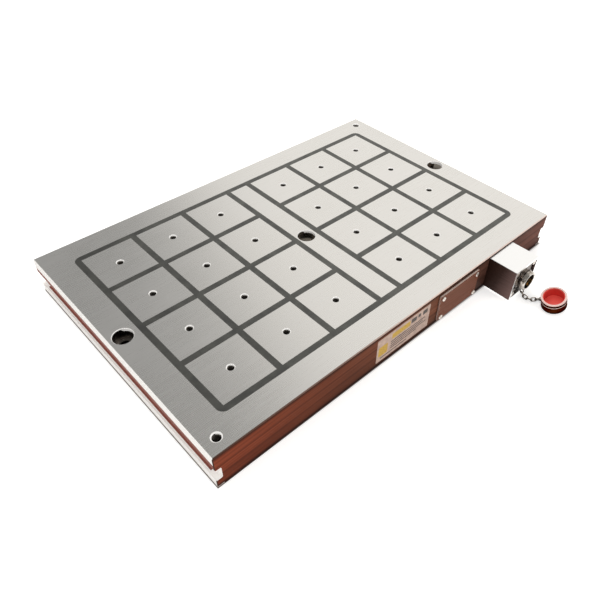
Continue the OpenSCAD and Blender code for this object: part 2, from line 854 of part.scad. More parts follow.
// Half of the section of the metal cap
module cap_section() {
    r = cap_d / 2;
    grip_top = cap_h - cap_neck_h;
    rim_z = cap_h - cap_rim_h;
    intersection() {
        difference() {
            union() {
                square([r - cap_grip_inset, cap_seat_z]);
                square([r - cap_seat_inset, cap_h]);
                translate([0, cap_seat_z + cap_seat_h])
                    square([r - cap_grip_inset, grip_top - cap_seat_z - cap_seat_h]);
                translate([0, grip_top]) square([r, cap_band_h]);
                translate([0, grip_top]) square([r - cap_waist_inset, cap_neck_h - cap_rim_h]);
                translate([0, rim_z]) square([r, cap_rim_h - cap_rim_step]);
                translate([0, rim_z]) square([r - cap_rim_step, cap_rim_h]);
            }
            translate([-overcut, cap_floor_h]) square([r - cap_wall + overcut, cap_h]);
        }
        translate([0, cap_dome_r]) circle(cap_dome_r);
    }
}

// Metal cap with a band and a rim round its mouth
module cap_shell() {
    color("#9b9189") at_cap() rotate_extrude() cap_section();
}

// Red rubber liner in the cap
module cap_liner() {
    r = cap_d / 2 - cap_wall;
    depth = cap_h - cap_floor_h - cap_mouth_h;
    color("#e03c34") at_cap() translate([0, 0, cap_floor_h]) difference() {
        cylinder(r = r, h = depth);
        translate([0, 0, 1.5 * liner_t]) cylinder(r = r - liner_t, h = depth);
    }
}

// Ring in the cap's groove with a lug for the last link
module cap_ring() {
    inner_r = cap_d / 2 - cap_seat_inset + ring_fit;
    color("#a8a39b") at_cap() translate([0, 0, cap_seat_z + (cap_seat_h - ring_t) / 2])
        linear_extrude(ring_t) difference() {
            union() {
                circle(inner_r + cap_ring_w);
                rotate(cap_lug_turn) translate([cap_lug_reach, 0]) circle(lug_r);
            }
            circle(inner_r);
            rotate(cap_lug_turn) translate([cap_lug_reach, 0]) circle(lug_hole_r);
        }
}

chuck_body();
centre_bar();
resin_fill();
reversible_magnets();
coil_windings();
coil_formers();
side_magnets_x();
side_magnets_y();
pole_screws();
bar_screws();
wiring_cover();
cover_gasket();
cover_screws();
terminal_block();
terminal_screws();
coil_leads();
supply_leads();
connector_box();
box_screws();
socket_shell();
socket_insert();
contact_pins();
chain_ring();
cap_ring();
cap_shell();
cap_liner();
for (i = [1 : link_count])
    chain_link(i);
for (c = [1 : 2 * pole_columns], r = [1 : pole_rows])
    pole(c, r);
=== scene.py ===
import math
import bpy
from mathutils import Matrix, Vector


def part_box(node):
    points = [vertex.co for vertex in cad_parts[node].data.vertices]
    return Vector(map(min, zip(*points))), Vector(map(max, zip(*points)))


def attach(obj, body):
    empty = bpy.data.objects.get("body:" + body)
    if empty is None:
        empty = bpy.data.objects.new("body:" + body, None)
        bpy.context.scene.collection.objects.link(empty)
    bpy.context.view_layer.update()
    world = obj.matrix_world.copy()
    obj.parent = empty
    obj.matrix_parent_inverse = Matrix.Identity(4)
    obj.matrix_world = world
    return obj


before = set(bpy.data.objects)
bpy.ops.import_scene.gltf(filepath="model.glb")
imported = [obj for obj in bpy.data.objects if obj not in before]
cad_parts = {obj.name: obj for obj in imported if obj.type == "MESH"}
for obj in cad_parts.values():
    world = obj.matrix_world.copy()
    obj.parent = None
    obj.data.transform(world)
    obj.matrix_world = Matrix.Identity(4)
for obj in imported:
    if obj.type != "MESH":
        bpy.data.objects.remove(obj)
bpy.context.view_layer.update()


# The camera stands in front of the left corner and looks down on the working
# face, as in the photograph. The small shift puts the vanishing points where
# the photograph has them.
bpy.ops.object.select_all(action="DESELECT")
bpy.ops.object.camera_add(
    location=(-0.4299, -0.4847, 0.5528),
    rotation=[math.radians(turn) for turn in (46.199, -1.458, -43.684)],
)
camera = bpy.context.object
camera.data.lens = 35.0
camera.data.sensor_width = 36.0
camera.data.shift_x = -0.0546
camera.data.shift_y = -0.0013
camera.data.clip_start = 0.01
bpy.context.scene.camera = camera


# The floor is a plain white table, wide enough to fill the view from any side.
# It is white to the camera and in reflections. It keeps the object's shadow,
# and a thin dark line of 1 to 3.5 mm runs round the block, where light can't reach.
def linear(hex_colour, alpha=1.0):
    """Turns an sRGB hex colour to the linear colour that a shader reads."""
    out = []
    for start in (0, 2, 4):
        value = int(hex_colour[start:start + 2], 16) / 255
        out.append(value / 12.92 if value <= 0.04045 else ((value + 0.055) / 1.055) ** 2.4)
    return (*out, alpha)


def node(tree, kind, inputs=None, stops=(), **settings):
    """Adds one shader node, with its settings, values, links and colour stops."""
    made = tree.nodes.new(kind)
    for name, value in settings.items():
        setattr(made, name, value)
    for name, value in (inputs or {}).items():
        if isinstance(value, bpy.types.NodeSocket):
            tree.links.new(value, made.inputs[name])
        else:
            made.inputs[name].default_value = value
    for _ in stops[2:]:
        made.color_ramp.elements.new(0.5)
    for number, (position, colour) in enumerate(stops):
        made.color_ramp.elements[number].position = position
        made.color_ramp.elements[number].color = linear(colour)
    return made


# The dark line grows from LINE_THIN to LINE_WIDE between two places along X.
FLOOR_SIZE = 9.0
FLOOR_GLOW = 0.48
BLOCK_HALF_LONG, BLOCK_HALF_WIDE = 0.3, 0.2
LINE_FROM, LINE_TO = -0.25, 0.15
LINE_THIN, LINE_WIDE = 0.001, 0.0035

bpy.ops.mesh.primitive_plane_add(size=FLOOR_SIZE, location=(0, 0, 0))
floor = bpy.context.object
floor.name = "floor"
floor_paper = bpy.data.materials.new("matt_white_paper")
floor_paper.use_nodes = True
tree = floor_paper.node_tree
tree.nodes.clear()
rays = node(tree, "ShaderNodeLightPath")
seen = node(tree, "ShaderNodeMath", {0: rays.outputs["Is Camera Ray"],
                                     1: rays.outputs["Is Glossy Ray"]}, operation="MAXIMUM")
seen = node(tree, "ShaderNodeMath", {0: seen.outputs[0],
                                     1: rays.outputs["Is Transmission Ray"]},
            operation="MAXIMUM")
place = node(tree, "ShaderNodeSeparateXYZ", {0: node(tree, "ShaderNodeTexCoord").outputs["Object"]})
past_end = node(tree, "ShaderNodeMath", {0: place.outputs["X"]}, operation="ABSOLUTE").outputs[0]
past_end = node(tree, "ShaderNodeMath", {0: past_end, 1: BLOCK_HALF_LONG},
                operation="SUBTRACT").outputs[0]
past_side = node(tree, "ShaderNodeMath", {0: place.outputs["Y"]}, operation="ABSOLUTE").outputs[0]
past_side = node(tree, "ShaderNodeMath", {0: past_side, 1: BLOCK_HALF_WIDE},
                 operation="SUBTRACT").outputs[0]
gap = node(tree, "ShaderNodeMath", {0: past_end, 1: past_side}, operation="MAXIMUM").outputs[0]
width = node(tree, "ShaderNodeMapRange", {"Value": place.outputs["X"], "From Min": LINE_FROM,
                                          "From Max": LINE_TO, "To Min": LINE_THIN,
                                          "To Max": LINE_WIDE}).outputs[0]
clear = node(tree, "ShaderNodeMapRange", {"Value": gap, "From Max": width}).outputs[0]
paper = node(tree, "ShaderNodeMix", {0: clear, 6: linear("4A3C36"), 7: linear("F4F3F1")},
             data_type="RGBA").outputs[2]
lit = node(tree, "ShaderNodeBsdfDiffuse", {"Color": paper})
strength = node(tree, "ShaderNodeMath", {0: clear, 1: FLOOR_GLOW}, operation="MULTIPLY")
glow = node(tree, "ShaderNodeEmission", {"Color": (1, 1, 1, 1), "Strength": strength.outputs[0]})
both = node(tree, "ShaderNodeAddShader", {0: lit.outputs[0], 1: glow.outputs[0]})
pick = node(tree, "ShaderNodeMixShader", {0: seen.outputs[0], 1: lit.outputs[0],
                                          2: both.outputs[0]})
node(tree, "ShaderNodeOutputMaterial", {"Surface": pick.outputs[0]})
floor.data.materials.append(floor_paper)


# Studio light: one large soft lamp behind on the right, a smaller one on the
# left, and a room that is pale on the right and grey on the left. The ground
# steel mirrors that room, so its tone falls off towards the left end.
def soft_lamp(name, place, aim, size, power):
    """Adds a square lamp at place that faces aim."""
    bpy.ops.object.light_add(type="AREA", location=place)
    lamp = bpy.context.object
    lamp.name = name
    lamp.data.size = size
    lamp.data.energy = power
    lamp.rotation_euler = (Vector(aim) - Vector(place)).to_track_quat("-Z", "Y").to_euler()
    lamp.visible_glossy = False


soft_lamp("key_lamp", (0.7, 0.9, 1.7), (0, 0, 0), 1.6, 19)
soft_lamp("fill_lamp", (-1.5, -0.6, 1.1), (0, 0, 0.02), 1.2, 7)
soft_lamp("front_lamp", (0.5, -1.6, 0.9), (0.1, -0.1, 0.02), 1.0, 7)

ROOM_STOPS = ((0.325, "A0A09F"), (0.45, "FFFDF9"))

world = bpy.data.worlds.new("room")
bpy.context.scene.world = world
world.use_nodes = True
tree = world.node_tree
tree.nodes.clear()
place = node(tree, "ShaderNodeTexCoord")
axes = node(tree, "ShaderNodeSeparateXYZ", {0: place.outputs["Generated"]})
room = node(tree, "ShaderNodeValToRGB", {0: axes.outputs["X"]}, ROOM_STOPS)
rays = node(tree, "ShaderNodeLightPath")
soft = node(tree, "ShaderNodeMix", {0: rays.outputs["Is Glossy Ray"], 6: linear("C9C8C6"),
                                    7: room.outputs[0]}, data_type="RGBA")
white = node(tree, "ShaderNodeMath", {0: rays.outputs["Is Camera Ray"],
                                      1: rays.outputs["Is Transmission Ray"]},
             operation="MAXIMUM")
final = node(tree, "ShaderNodeMix", {0: white.outputs[0], 6: soft.outputs[2],
                                     7: (1, 1, 1, 1)}, data_type="RGBA")
back = node(tree, "ShaderNodeBackground", {"Color": final.outputs[2], "Strength": 1.0})
node(tree, "ShaderNodeOutputWorld", {"Surface": back.outputs[0]})
bpy.context.scene.view_settings.view_transform = "Standard"


# The block is one piece of mild steel, milled all round and ground on the
# working face. Its long sides are satin red-brown, painted reflection of a
# wooden table, and a band along its ends is red-brown too. The rest of the
# ends is painted white reflection, a brown stripe in its slots and the bottom
# of its ends are painted shade, the mouths of its holes are painted
# highlight, and its bores are darkened with painted shade.
def new_material(name, colour, metallic=0.0, roughness=0.5, specular=0.5):
    """Starts a material with the given name and its shader's plain values."""
    made = bpy.data.materials.new(name)
    made.use_nodes = True
    shader = made.node_tree.nodes["Principled BSDF"]
    shader.inputs["Base Color"].default_value = linear(colour)
    shader.inputs["Metallic"].default_value = metallic
    shader.inputs["Roughness"].default_value = roughness
    shader.inputs["Specular IOR Level"].default_value = specular
    return made, made.node_tree, shader


def dress(material, *names):
    """Gives a material to CAD nodes, in every material slot they have."""
    for name in names:
        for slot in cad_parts[name].material_slots:
            slot.material = material


def streaks(tree, stretch, detail=3.0):
    """Noise on Object coordinates: 1000 over a grain in millimetres, along each axis."""
    place = node(tree, "ShaderNodeTexCoord").outputs["Object"]
    turned = node(tree, "ShaderNodeMapping", {"Vector": place, "Scale": stretch})
    return node(tree, "ShaderNodeTexNoise", {"Vector": turned.outputs[0], "Scale": 1.0,
                                             "Detail": detail, "Roughness": 0.6}).outputs[0]


def ground_face(tree, shader):
    """Ground steel: lines along X in colour, gloss and bump.

    Real grinding lines are finer. They are drawn 0.8 mm apart, so that they show.
    """
    lines = streaks(tree, (30.0, 1250.0, 1250.0))
    cloud = streaks(tree, (9.0, 9.0, 9.0), 2.0)
    both = node(tree, "ShaderNodeMix", {0: 0.45, 2: lines, 3: cloud}, data_type="FLOAT").outputs[0]
    shade = node(tree, "ShaderNodeValToRGB", {0: both}, ((0.36, "E2E0DC"), (0.64, "EAE8E5")))
    rough = node(tree, "ShaderNodeMapRange", {"Value": both, "From Min": 0.3, "From Max": 0.7,
                                              "To Min": 0.24, "To Max": 0.32})
    bump = node(tree, "ShaderNodeBump", {"Height": lines, "Strength": 0.05,
                                         "Distance": 0.0002})
    tree.links.new(bump.outputs[0], shader.inputs["Normal"])
    return shade.outputs[0], rough.outputs[0]


# Where each colour starts and ends, in metres. LEVEL and STEEP are how far a
# face's normal points along an axis.
BLOCK_HIGH, SIDE_FROM, FOOT_HIGH = 0.054, 0.1985, 0.003
BAND_LOW, BAND_HIGH = 0.0312, 0.0415
SLOT_FROM, STRIPE_TO, STRIPE_HALF = 0.2915, 0.2972, 0.186
LEVEL, STEEP = 0.9, 0.45
HOLES_HALF_LONG, HOLES_HALF_WIDE, HOLES_FROM = 0.2955, 0.198, 0.0335
MOUTH_LOW, MOUTH_HIGH = 0.0496, 0.0526

block_steel, tree, shader = new_material("milled_steel_with_painted_light", "E6E4E0", 1.0)
normal = node(tree, "ShaderNodeSeparateXYZ",
              {0: node(tree, "ShaderNodeNewGeometry").outputs["True Normal"]})
place = node(tree, "ShaderNodeSeparateXYZ", {0: node(tree, "ShaderNodeTexCoord").outputs["Object"]})
height = place.outputs["Z"]
across = node(tree, "ShaderNodeMath", {0: place.outputs["Y"]}, operation="ABSOLUTE").outputs[0]
along = node(tree, "ShaderNodeMath", {0: place.outputs["X"]}, operation="ABSOLUTE").outputs[0]
facing = node(tree, "ShaderNodeMath", {0: normal.outputs["Y"]}, operation="ABSOLUTE").outputs[0]

# The flat long sides, and the broken edge above and below them, which carries
# a painted highlight.
at_side = node(tree, "ShaderNodeMath", {0: across, 1: SIDE_FROM},
               operation="GREATER_THAN").outputs[0]
flat = node(tree, "ShaderNodeMath", {0: facing, 1: LEVEL}, operation="GREATER_THAN").outputs[0]
side = node(tree, "ShaderNodeMath", {0: at_side, 1: flat}, operation="MULTIPLY").outputs[0]
upper = node(tree, "ShaderNodeMath", {0: facing, 1: STEEP}, operation="GREATER_THAN").outputs[0]
broken = node(tree, "ShaderNodeMath", {0: at_side, 1: upper}, operation="MULTIPLY").outputs[0]
broken = node(tree, "ShaderNodeMath", {0: broken, 1: side}, operation="SUBTRACT").outputs[0]

# The ends: the brown band over the slot, the rest in pale white that is painted
# reflection, and a grey bottom edge that is painted shade.
tilted = node(tree, "ShaderNodeMath", {0: normal.outputs["Z"], 1: LEVEL}, operation="LESS_THAN")
at_end = node(tree, "ShaderNodeMath", {0: along, 1: SLOT_FROM}, operation="GREATER_THAN").outputs[0]
above = node(tree, "ShaderNodeMath", {0: height, 1: BAND_LOW}, operation="GREATER_THAN").outputs[0]
below = node(tree, "ShaderNodeMath", {0: height, 1: BAND_HIGH}, operation="LESS_THAN").outputs[0]
band = node(tree, "ShaderNodeMath", {0: above, 1: below}, operation="MULTIPLY").outputs[0]
band = node(tree, "ShaderNodeMath", {0: band, 1: at_end}, operation="MULTIPLY").outputs[0]
in_slot = node(tree, "ShaderNodeMath", {0: height, 1: BAND_LOW}, operation="LESS_THAN").outputs[0]
pale = node(tree, "ShaderNodeMath", {0: tilted.outputs[0], 1: in_slot}, operation="MAXIMUM")
painted_white_end = node(tree, "ShaderNodeMath", {0: pale.outputs[0], 1: at_end},
                operation="MULTIPLY").outputs[0]
# Painted shade: a grey line along the bottom of the ends.
foot = node(tree, "ShaderNodeMath", {0: height, 1: FOOT_HIGH}, operation="LESS_THAN").outputs[0]
foot = node(tree, "ShaderNodeMath", {0: foot, 1: tilted.outputs[0]},
            operation="MULTIPLY").outputs[0]
foot = node(tree, "ShaderNodeMath", {0: foot, 1: at_end}, operation="MULTIPLY").outputs[0]

# Painted shade: a brown stripe on the floor of each slot, under the lip above.
behind = node(tree, "ShaderNodeMath", {0: along, 1: STRIPE_TO}, operation="LESS_THAN")
between = node(tree, "ShaderNodeMath", {0: across, 1: STRIPE_HALF}, operation="LESS_THAN")
stripe = node(tree, "ShaderNodeMath", {0: behind.outputs[0], 1: between.outputs[0]},
              operation="MULTIPLY")
stripe = node(tree, "ShaderNodeMath", {0: stripe.outputs[0], 1: in_slot}, operation="MULTIPLY")
stripe = node(tree, "ShaderNodeMath", {0: stripe.outputs[0], 1: at_end}, operation="MULTIPLY")
upward = node(tree, "ShaderNodeMath", {0: normal.outputs["Z"], 1: LEVEL},
              operation="GREATER_THAN")
stripe = node(tree, "ShaderNodeMath", {0: stripe.outputs[0], 1: upward.outputs[0]},
              operation="MULTIPLY")
band = node(tree, "ShaderNodeMath", {0: band, 1: stripe.outputs[0]},
            operation="MAXIMUM").outputs[0]

# The holes in the working face: a mouth in painted white highlight that reaches
# deepest on the wall that faces -X, and a bore below it darkened with painted shade.
inner_x = node(tree, "ShaderNodeMath", {0: along, 1: HOLES_HALF_LONG}, operation="LESS_THAN")
inner_y = node(tree, "ShaderNodeMath", {0: across, 1: HOLES_HALF_WIDE}, operation="LESS_THAN")
high = node(tree, "ShaderNodeMath", {0: height, 1: HOLES_FROM}, operation="GREATER_THAN")
inside = node(tree, "ShaderNodeMath", {0: inner_x.outputs[0], 1: inner_y.outputs[0]},
              operation="MULTIPLY")
inside = node(tree, "ShaderNodeMath", {0: inside.outputs[0], 1: high.outputs[0]},
              operation="MULTIPLY")
mouth = node(tree, "ShaderNodeMath", {0: inside.outputs[0], 1: tilted.outputs[0]},
             operation="MULTIPLY").outputs[0]
steep = node(tree, "ShaderNodeMath", {0: normal.outputs["Z"], 1: STEEP}, operation="LESS_THAN")
highlight_depth = node(tree, "ShaderNodeMapRange", {"Value": normal.outputs["X"], "From Min": -0.5,
                                            "From Max": -0.3, "To Min": MOUTH_LOW,
                                            "To Max": MOUTH_HIGH}).outputs[0]
deep = node(tree, "ShaderNodeMath", {0: height, 1: highlight_depth}, operation="LESS_THAN")
bore = node(tree, "ShaderNodeMath", {0: steep.outputs[0], 1: deep.outputs[0]},
            operation="MULTIPLY").outputs[0]
bore = node(tree, "ShaderNodeMath", {0: bore, 1: mouth}, operation="MULTIPLY").outputs[0]
mouth = node(tree, "ShaderNodeMath", {0: mouth, 1: bore}, operation="SUBTRACT").outputs[0]

# The streaks on the long sides, part of their painted reflection of the
# wooden table, are 200 mm long and 2.4 mm high.
grain = streaks(tree, (5.0, 5.0, 420.0), 4.0)
mottle = streaks(tree, (14.0, 14.0, 30.0), 2.0)
tone = node(tree, "ShaderNodeMix", {0: 0.35, 2: grain, 3: mottle}, data_type="FLOAT").outputs[0]
tone = node(tree, "ShaderNodeMapRange", {"Value": tone, "From Min": 0.34, "From Max": 0.66,
                                         "To Min": 0.66, "To Max": 1.25}).outputs[0]
reach = node(tree, "ShaderNodeMapRange", {"Value": place.outputs["X"],
                                          "From Min": -BLOCK_HALF_LONG,
                                          "From Max": BLOCK_HALF_LONG}).outputs[0]
# Painted shade: the brown dips darker beside the connector box, near x = 130 mm.
brown = node(tree, "ShaderNodeValToRGB", {0: reach},
             ((0.0, "86402A"), (0.25, "703C29"), (0.55, "744835"), (0.72, "593C32"),
              (1.0, "74483C"))).outputs[0]
# Painted light and shade: the brown darkens towards the bottom edge and just under the top edge, is
# lightest in its upper half, and has two thin darker lines.
painted_height_shade = node(tree, "ShaderNodeMapRange", {"Value": height, "From Max": BLOCK_HIGH}).outputs[0]
painted_height_shade = node(tree, "ShaderNodeValToRGB", {0: painted_height_shade},
            ((0.0, "666666"), (0.09, "8C8C8C"), (0.13, "D4D4D4"), (0.33, "DEDEDE"),
             (0.37, "C2C2C2"), (0.43, "F4F4F4"), (0.6, "FFFFFF"), (0.64, "D0D0D0"),
             (0.7, "FFFFFF"), (0.88, "F6F6F6"), (0.95, "909090"))).outputs[0]
brown = node(tree, "ShaderNodeVectorMath", {0: brown, "Scale": tone}, operation="SCALE").outputs[0]
brown = node(tree, "ShaderNodeVectorMath", {0: brown, 1: painted_height_shade}, operation="MULTIPLY").outputs[0]

# The colours, each laid over the one before.
steel_shade, steel_rough = ground_face(tree, shader)
# Painted highlight on the broken edges, dark at the left end, bright from the middle on.
painted_edge_highlight = node(tree, "ShaderNodeValToRGB", {0: reach},
                  ((0.0, "4A332B"), (0.3, "7E655B"), (0.5, "DCC3B7"),
                   (1.0, "EBD5CB"))).outputs[0]
# Pale white: painted reflection on the ends, painted highlight in the hole mouths.
pale = node(tree, "ShaderNodeMath", {0: painted_white_end, 1: mouth}, operation="MAXIMUM").outputs[0]
colour = node(tree, "ShaderNodeMix", {0: pale, 6: steel_shade, 7: linear("FFFDFA")},
              data_type="RGBA").outputs[2]
# Red-brown on the band over the slot, and as painted shade on the slot floors.
colour = node(tree, "ShaderNodeMix", {0: band, 6: colour, 7: linear("8C544A")},
              data_type="RGBA").outputs[2]
colour = node(tree, "ShaderNodeMix", {0: side, 6: colour, 7: brown}, data_type="RGBA").outputs[2]
colour = node(tree, "ShaderNodeMix", {0: broken, 6: colour, 7: painted_edge_highlight},
              data_type="RGBA").outputs[2]
# Painted shade in the bores, darker towards the left end.
painted_bore_shade = node(tree, "ShaderNodeValToRGB", {0: reach},
             ((0.0, "544D47"), (1.0, "B4ADA4"))).outputs[0]
colour = node(tree, "ShaderNodeMix", {0: bore, 6: colour, 7: painted_bore_shade}, data_type="RGBA").outputs[2]
# Painted shade at the bottom of the ends.
colour = node(tree, "ShaderNodeMix", {0: foot, 6: colour, 7: linear("A29891")},
              data_type="RGBA").outputs[2]
tree.links.new(colour, shader.inputs["Base Color"])
painted = node(tree, "ShaderNodeMath", {0: side, 1: band}, operation="MAXIMUM").outputs[0]
painted = node(tree, "ShaderNodeMath", {0: painted, 1: pale}, operation="MAXIMUM").outputs[0]
painted = node(tree, "ShaderNodeMath", {0: painted, 1: broken}, operation="MAXIMUM").outputs[0]
painted = node(tree, "ShaderNodeMath", {0: painted, 1: foot}, operation="MAXIMUM").outputs[0]
bare = node(tree, "ShaderNodeMath", {0: 1.0, 1: painted}, operation="SUBTRACT").outputs[0]
tree.links.new(bare, shader.inputs["Metallic"])
gloss = node(tree, "ShaderNodeMapRange", {"Value": bare, "To Min": 0.02, "To Max": 0.5})
tree.links.new(gloss.outputs[0], shader.inputs["Specular IOR Level"])
rough = node(tree, "ShaderNodeMix", {0: painted, 2: steel_rough, 3: 0.45}, data_type="FLOAT")
tree.links.new(rough.outputs[0], shader.inputs["Roughness"])
dress(block_steel, "chuck_body")


# The poles and the centre bar are soft iron, ground flush with the block in
# one pass, so the grinding lines run on from one to the next. The mouths of
# their holes carry a painted white highlight, and the bores below are darker
# with painted shade.
pole_names = [f"pole_{column}_{row}" for column in range(1, 7) for row in range(1, 5)]
pole_iron, tree, shader = new_material("ground_soft_iron", "E6E4E0", 1.0)
normal = node(tree, "ShaderNodeSeparateXYZ",
              {0: node(tree, "ShaderNodeNewGeometry").outputs["True Normal"]})
height = node(tree, "ShaderNodeSeparateXYZ",
              {0: node(tree, "ShaderNodeTexCoord").outputs["Object"]}).outputs["Z"]
tilted = node(tree, "ShaderNodeMath", {0: normal.outputs["Z"], 1: LEVEL}, operation="LESS_THAN")
steep = node(tree, "ShaderNodeMath", {0: normal.outputs["Z"], 1: STEEP}, operation="LESS_THAN")
highlight_depth = node(tree, "ShaderNodeMapRange", {"Value": normal.outputs["X"], "From Min": -0.5,
                                            "From Max": -0.3, "To Min": MOUTH_LOW,
                                            "To Max": MOUTH_HIGH}).outputs[0]
deep = node(tree, "ShaderNodeMath", {0: height, 1: highlight_depth}, operation="LESS_THAN")
bore = node(tree, "ShaderNodeMath", {0: steep.outputs[0], 1: deep.outputs[0]},
            operation="MULTIPLY").outputs[0]
mouth = node(tree, "ShaderNodeMath", {0: tilted.outputs[0], 1: bore},
             operation="SUBTRACT").outputs[0]
iron_shade, iron_rough = ground_face(tree, shader)
# Painted shade in the bores, painted white highlight at their mouths.
colour = node(tree, "ShaderNodeMix", {0: bore, 6: iron_shade, 7: linear("B4ADA4")},
              data_type="RGBA").outputs[2]
colour = node(tree, "ShaderNodeMix", {0: mouth, 6: colour, 7: linear("FFFDFA")},
              data_type="RGBA").outputs[2]
tree.links.new(colour, shader.inputs["Base Color"])
bare = node(tree, "ShaderNodeMath", {0: 1.0, 1: mouth}, operation="SUBTRACT").outputs[0]
tree.links.new(bare, shader.inputs["Metallic"])
tree.links.new(iron_rough, shader.inputs["Roughness"])
dress(pole_iron, "centre_bar", *pole_names)


# The threads in the poles and the two lifting holes are cut, so each turn
# has a sharp crest. One turn is swept along the hole and copied to every
# hole of its size.
# The ridge's depth is a share of the pitch, and its other sizes are shares of
# that depth.
RIDGE_DEPTH, RIDGE_WIDE, RIDGE_HIGH, RIDGE_SUNK = 0.55, 0.9, 0.8, 0.1
RIDGE_STEPS = 28


def thread_in(name, material, slot, radius, pitch, turns, top, places):
    """Cuts a row of threads: a three-sided ridge wound inside a hole of radius."""
    depth = RIDGE_DEPTH * pitch
    bpy.ops.object.select_all(action="DESELECT")
    bpy.ops.mesh.primitive_circle_add(vertices=3, radius=depth, fill_type="NGON",
                                      rotation=(math.pi / 2, 0, 0))
    ridge = bpy.context.object
    bpy.ops.object.transform_apply(location=True, rotation=True, scale=True)
    bpy.ops.object.mode_set(mode="EDIT")
    bpy.ops.mesh.select_all(action="SELECT")
    bpy.ops.transform.resize(value=(RIDGE_WIDE, 1, RIDGE_HIGH), center_override=(0, 0, 0))
    bpy.ops.transform.translate(value=(radius - RIDGE_SUNK * depth, 0, top - turns * pitch))
    bpy.ops.mesh.delete(type="ONLY_FACE")
    bpy.ops.object.mode_set(mode="OBJECT")
    winding = ridge.modifiers.new("winding", "SCREW")
    winding.screw_offset = pitch
    winding.iterations = turns
    winding.steps = RIDGE_STEPS
    winding.render_steps = RIDGE_STEPS
    bpy.ops.object.modifier_apply(modifier="winding")
    bpy.ops.object.mode_set(mode="EDIT")
    bpy.ops.mesh.select_all(action="SELECT")
    bpy.ops.mesh.fill_holes(sides=3)
    bpy.ops.mesh.normals_make_consistent(inside=False)
    bpy.ops.object.mode_set(mode="OBJECT")
    turned = [ridge]
    for x, y in places[1:]:
        copy = ridge.copy()
        copy.data = ridge.data.copy()
        bpy.context.collection.objects.link(copy)
        copy.location = (x, y, 0)
        turned.append(copy)
    ridge.location = (*places[0], 0)
    bpy.ops.object.select_all(action="DESELECT")
    for piece in turned:
        piece.select_set(True)
    bpy.context.view_layer.objects.active = ridge
    bpy.ops.object.transform_apply(location=True, rotation=False, scale=False)
    bpy.ops.object.join()
    ridge.name = name
    ridge.data.materials.clear()
    ridge.data.materials.append(material)
    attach(ridge, "root")


# Radius of the hole, pitch, turns and upper end, in metres.
POLE_THREAD = (0.00425, 0.0015, 8, 0.0525)
LIFTING_THREAD = (0.0051, 0.00175, 11, 0.052)
LIFTING_PLACES = [(-0.282, -0.182), (0.282, 0.182)]

cut_thread, tree, shader = new_material("cut_thread_steel", "8E877F", 1.0, 0.35)
oil = streaks(tree, (400.0, 400.0, 900.0))
oil = node(tree, "ShaderNodeValToRGB", {0: oil}, ((0.35, "6E6861"), (0.65, "A39C94")))
tree.links.new(oil.outputs[0], shader.inputs["Base Color"])
pole_middles = []
for name in pole_names:
    low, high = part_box(name)
    pole_middles.append(((low[0] + high[0]) / 2, (low[1] + high[1]) / 2))
thread_in("pole_threads", cut_thread, "pole_steel", *POLE_THREAD, pole_middles)
thread_in("lifting_threads", cut_thread, "block_steel", *LIFTING_THREAD, LIFTING_PLACES)


# Epoxy resin fills the grooves. It was ground with the steel, which leaves it
# matt and grey, with tiny pits where bubbles were cut open.
PIT_SCALE, PIT_SIZE = 450.0, 0.16
DARK_TO, GREY_FROM = -0.26, 0.0

resin, tree, shader = new_material("ground_grey_epoxy", "55554E", 0.0, 0.5)
where = node(tree, "ShaderNodeTexCoord").outputs["Object"]
pits = node(tree, "ShaderNodeTexVoronoi", {"Vector": where, "Scale": PIT_SCALE})
pit_mask = node(tree, "ShaderNodeMath", {0: pits.outputs["Distance"], 1: PIT_SIZE},
                operation="LESS_THAN")
cloud = streaks(tree, (60.0, 60.0, 60.0))
cloudy = node(tree, "ShaderNodeValToRGB", {0: cloud}, ((0.35, "434340"), (0.65, "555550")))
axes = node(tree, "ShaderNodeSeparateXYZ", {0: where})
# Painted shade: the resin darkens towards the left end.
painted_left_shade = node(tree, "ShaderNodeMapRange", {"Value": axes.outputs["X"], "From Min": DARK_TO,
                                              "From Max": GREY_FROM, "To Min": 0.62,
                                              "To Max": 1.0})
cloudy = node(tree, "ShaderNodeVectorMath", {0: cloudy.outputs[0], "Scale": painted_left_shade.outputs[0]},
              operation="SCALE")
colour = node(tree, "ShaderNodeMix", {0: pit_mask.outputs[0], 6: cloudy.outputs[0],
                                      7: linear("2B2B27")}, data_type="RGBA")
tree.links.new(colour.outputs[2], shader.inputs["Base Color"])
dress(resin, "resin_fill")


# The reversible magnets are cast alloy rings, each in a moulded former wound
# with enamelled wire. The side magnets are nickel-plated blocks. None of
# them shows on the finished chuck.
def speckled(name, dark, light, metallic, roughness, grain_mm, bump=0.1):
    """A material whose colour wanders between two tones at a grain in millimetres."""
    made, tree, shader = new_material(name, light, metallic, roughness)
    scale = 1000.0 / grain_mm
    grain = streaks(tree, (scale, scale, scale))
    colour = node(tree, "ShaderNodeValToRGB", {0: grain}, ((0.35, dark), (0.65, light)))
    tree.links.new(colour.outputs[0], shader.inputs["Base Color"])
    relief = node(tree, "ShaderNodeBump", {"Height": grain, "Strength": bump,
                                           "Distance": grain_mm / 5000.0})
    tree.links.new(relief.outputs[0], shader.inputs["Normal"])
    return made


dress(speckled("cast_magnet_alloy", "6E7175", "8B8E92", 1.0, 0.5, 1.5), "reversible_magnets")
dress(speckled("nickel_plate", "9A9C9E", "B4B5B5", 1.0, 0.3, 3.0),
      "side_magnets_x", "side_magnets_y")
dress(speckled("enamelled_copper_wire", "8A4A20", "C07A3C", 0.9, 0.3, 0.9, 0.4),
      "coil_windings")
dress(speckled("moulded_nylon", "CFC9B8", "DDD8C8", 0.0, 0.5, 4.0), "coil_formers")


# Blackened socket screws hold the poles and the centre bar from below.
dress(speckled("black_oxide_steel", "1E1F21", "33353A", 0.6, 0.42, 2.0),
      "pole_screws", "bar_screws")


